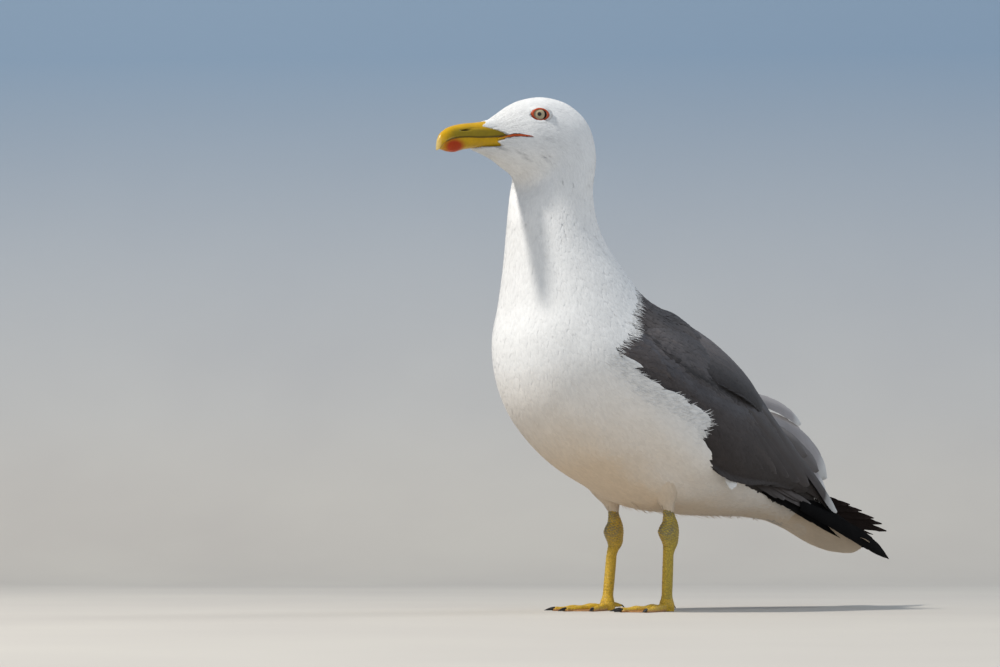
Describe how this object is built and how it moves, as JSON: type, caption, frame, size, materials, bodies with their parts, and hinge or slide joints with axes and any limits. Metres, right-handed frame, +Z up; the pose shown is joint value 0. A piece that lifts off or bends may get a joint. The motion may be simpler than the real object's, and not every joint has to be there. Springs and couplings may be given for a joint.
{
  "type": "yellow-legged gull",
  "caption": "Life-size adult yellow-legged gull standing upright with folded wings: white head and body, slate-grey back, black wing tips, yellow bill and legs.",
  "frame": {"origin": "under the middle of the bird's bounding box, on the floor it stands on", "axes": "-Y is the way the bill points, +X is the bird's left side, +Z is up"},
  "size_m": [0.1456, 0.5346, 0.4145],
  "materials": {
    "white_feathers": "soft matte white plumage",
    "slate_feathers": "matte slate-grey plumage",
    "black_feathers": "black flight feathers with a slight sheen",
    "bill": "satin yellow horn",
    "leg_skin": "scaly yellow skin",
    "claw": "black horn",
    "iris": "wet glossy eye"
  },
  "bodies": {
    "root": {"bill_lower": "bill", "bill_upper": "bill", "claw_inner_left": "claw", "claw_inner_right": "claw", "claw_middle_left": "claw", "claw_middle_right": "claw", "claw_outer_left": "claw", "claw_outer_right": "claw", "eye_left": "iris", "eye_right": "iris", "foot_left": "leg_skin", "foot_right": "leg_skin", "head": "white_feathers", "lifted_feather_1": "slate_feathers", "lifted_feather_2": "slate_feathers", "lifted_feather_3": "slate_feathers", "neck": "white_feathers", "primaries_left": "black_feathers", "primaries_right": "black_feathers", "scapulars_left": "slate_feathers", "scapulars_right": "slate_feathers", "shank_left": "leg_skin", "shank_right": "leg_skin", "tail": "white_feathers", "thigh_left": "white_feathers", "thigh_right": "white_feathers", "trunk": "white_feathers", "wing_left": "slate_feathers", "wing_right": "slate_feathers"}
  },
  "joints": []
}
